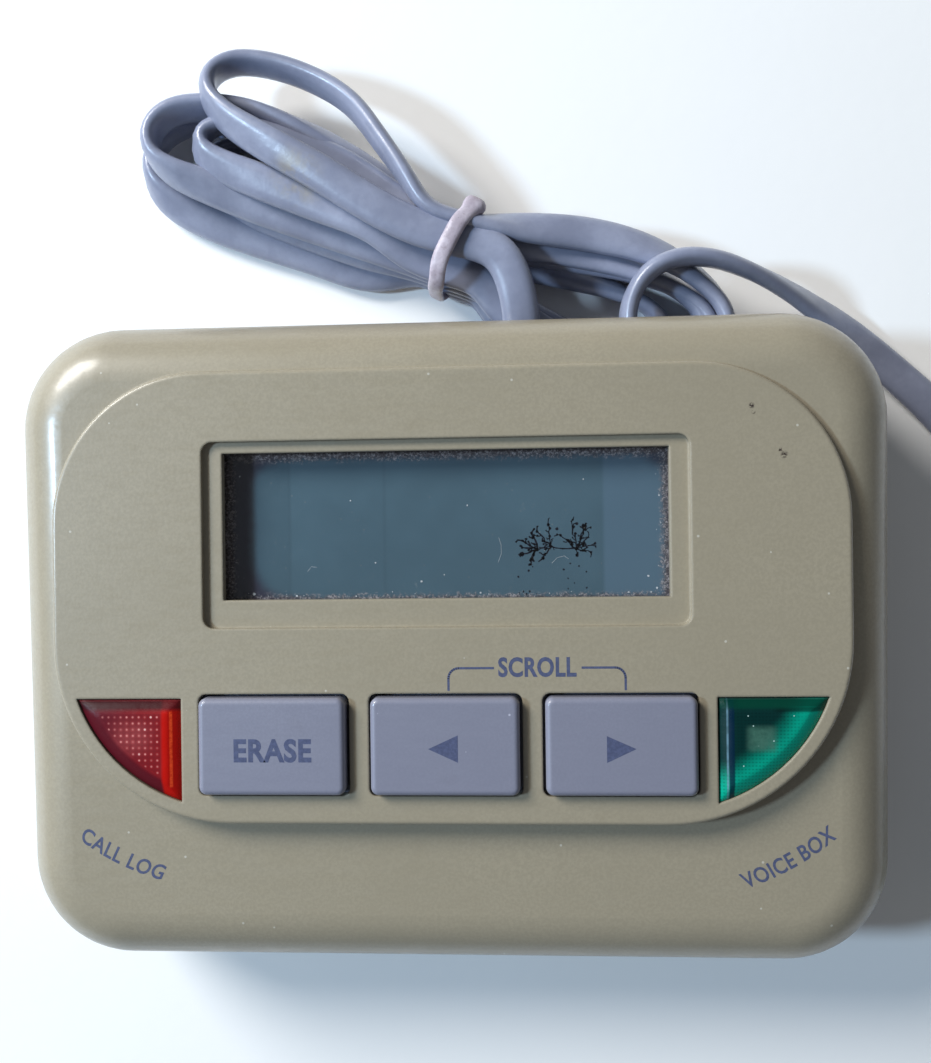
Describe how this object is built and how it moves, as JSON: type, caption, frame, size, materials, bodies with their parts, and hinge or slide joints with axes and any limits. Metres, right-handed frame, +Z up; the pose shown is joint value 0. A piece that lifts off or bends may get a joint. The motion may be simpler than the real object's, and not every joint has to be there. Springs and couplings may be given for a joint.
{
  "type": "caller display unit",
  "caption": "Desk box that shows who is calling: liquid-crystal window, push keys, red and green message lamps, telephone line sockets and a flat line cord in a tied hank.",
  "frame": {"origin": "on the table surface, under the middle of the housing", "axes": "+X to the reader's right, +Y to the rear, where the sockets and the cord are, +Z up out of the display"},
  "size_m": [0.1385, 0.1253, 0.027],
  "materials": {
    "housing": "moulded ABS, fine texture, satin",
    "key": "moulded, satin, printed legend",
    "window": "clear acrylic, polished",
    "lcd_glass": "liquid-crystal cell with reflective back",
    "black_plastic": "moulded, matt",
    "connector": "layered silicone strip",
    "red_lens": "translucent red, prism pattern underneath",
    "green_lens": "translucent green, prism pattern underneath",
    "led_red": "clear-tinted epoxy",
    "led_green": "clear-tinted epoxy",
    "silicone": "translucent silicone",
    "board": "green solder mask",
    "chip": "black moulding compound",
    "steel": "zinc or nickel plated",
    "capacitor": "printed sleeve",
    "white_plastic": "moulded",
    "jack_plastic": "moulded ivory",
    "contact": "gold flash",
    "cell": "printed sleeve",
    "lead": "PVC insulation",
    "foot": "matt",
    "plug_plastic": "clear polycarbonate",
    "cord": "glossy PVC sheath, silver grey",
    "tie": "matt band"
  },
  "bodies": {
    "case": {"upper_housing": "housing", "lower_housing": "housing", "lcd_window": "window", "lcd_holder": "black_plastic", "lcd_glass": "lcd_glass", "lcd_connector": "connector", "red_lamp_lens": "red_lens", "green_lamp_lens": "green_lens", "red_led": "led_red", "green_led": "led_green", "erase_dome": "silicone", "back_dome": "silicone", "forward_dome": "silicone", "main_board": "board", "controller_chip": "chip", "crystal": "steel", "bulk_capacitor": "capacitor", "bridge_rectifier": "chip", "optocoupler": "white_plastic", "line_jack": "jack_plastic", "phone_jack": "jack_plastic", "phone_jack_contacts": "contact", "battery_cell_1": "cell", "battery_cell_2": "cell", "battery_cell_3": "cell", "battery_cell_4": "cell", "battery_springs": "steel", "battery_plates": "steel", "battery_leads": "lead", "case_screws": "steel", "board_screws": "steel", "rubber_feet": "foot", "line_plug_a": "plug_plastic", "line_cord_a": "cord", "cord_hank": "cord", "cord_tie": "tie", "cord_loose_turn": "cord", "line_cord_b": "cord", "line_plug_b": "plug_plastic"},
    "erase_key": {"erase_key": "key"},
    "back_key": {"back_key": "key"},
    "forward_key": {"forward_key": "key"},
    "battery_door": {"battery_door": "housing"}
  },
  "joints": [
    {"name": "erase_key_press", "type": "slide", "parent": "case", "child": "erase_key", "axis": [0, 0, -1], "range_m": [0, 0.0012], "stiffness_N_per_m": 600, "springref_m": -0.0005, "deforming": ["erase_dome"]},
    {"name": "back_key_press", "type": "slide", "parent": "case", "child": "back_key", "axis": [0, 0, -1], "range_m": [0, 0.0012], "stiffness_N_per_m": 600, "springref_m": -0.0005, "deforming": ["back_dome"]},
    {"name": "forward_key_press", "type": "slide", "parent": "case", "child": "forward_key", "axis": [0, 0, -1], "range_m": [0, 0.0012], "stiffness_N_per_m": 600, "springref_m": -0.0005, "deforming": ["forward_dome"]},
    {"name": "battery_door_slide", "type": "slide", "parent": "case", "child": "battery_door", "axis": [-1, 0, 0], "range_m": [0, 0.01]}
  ]
}
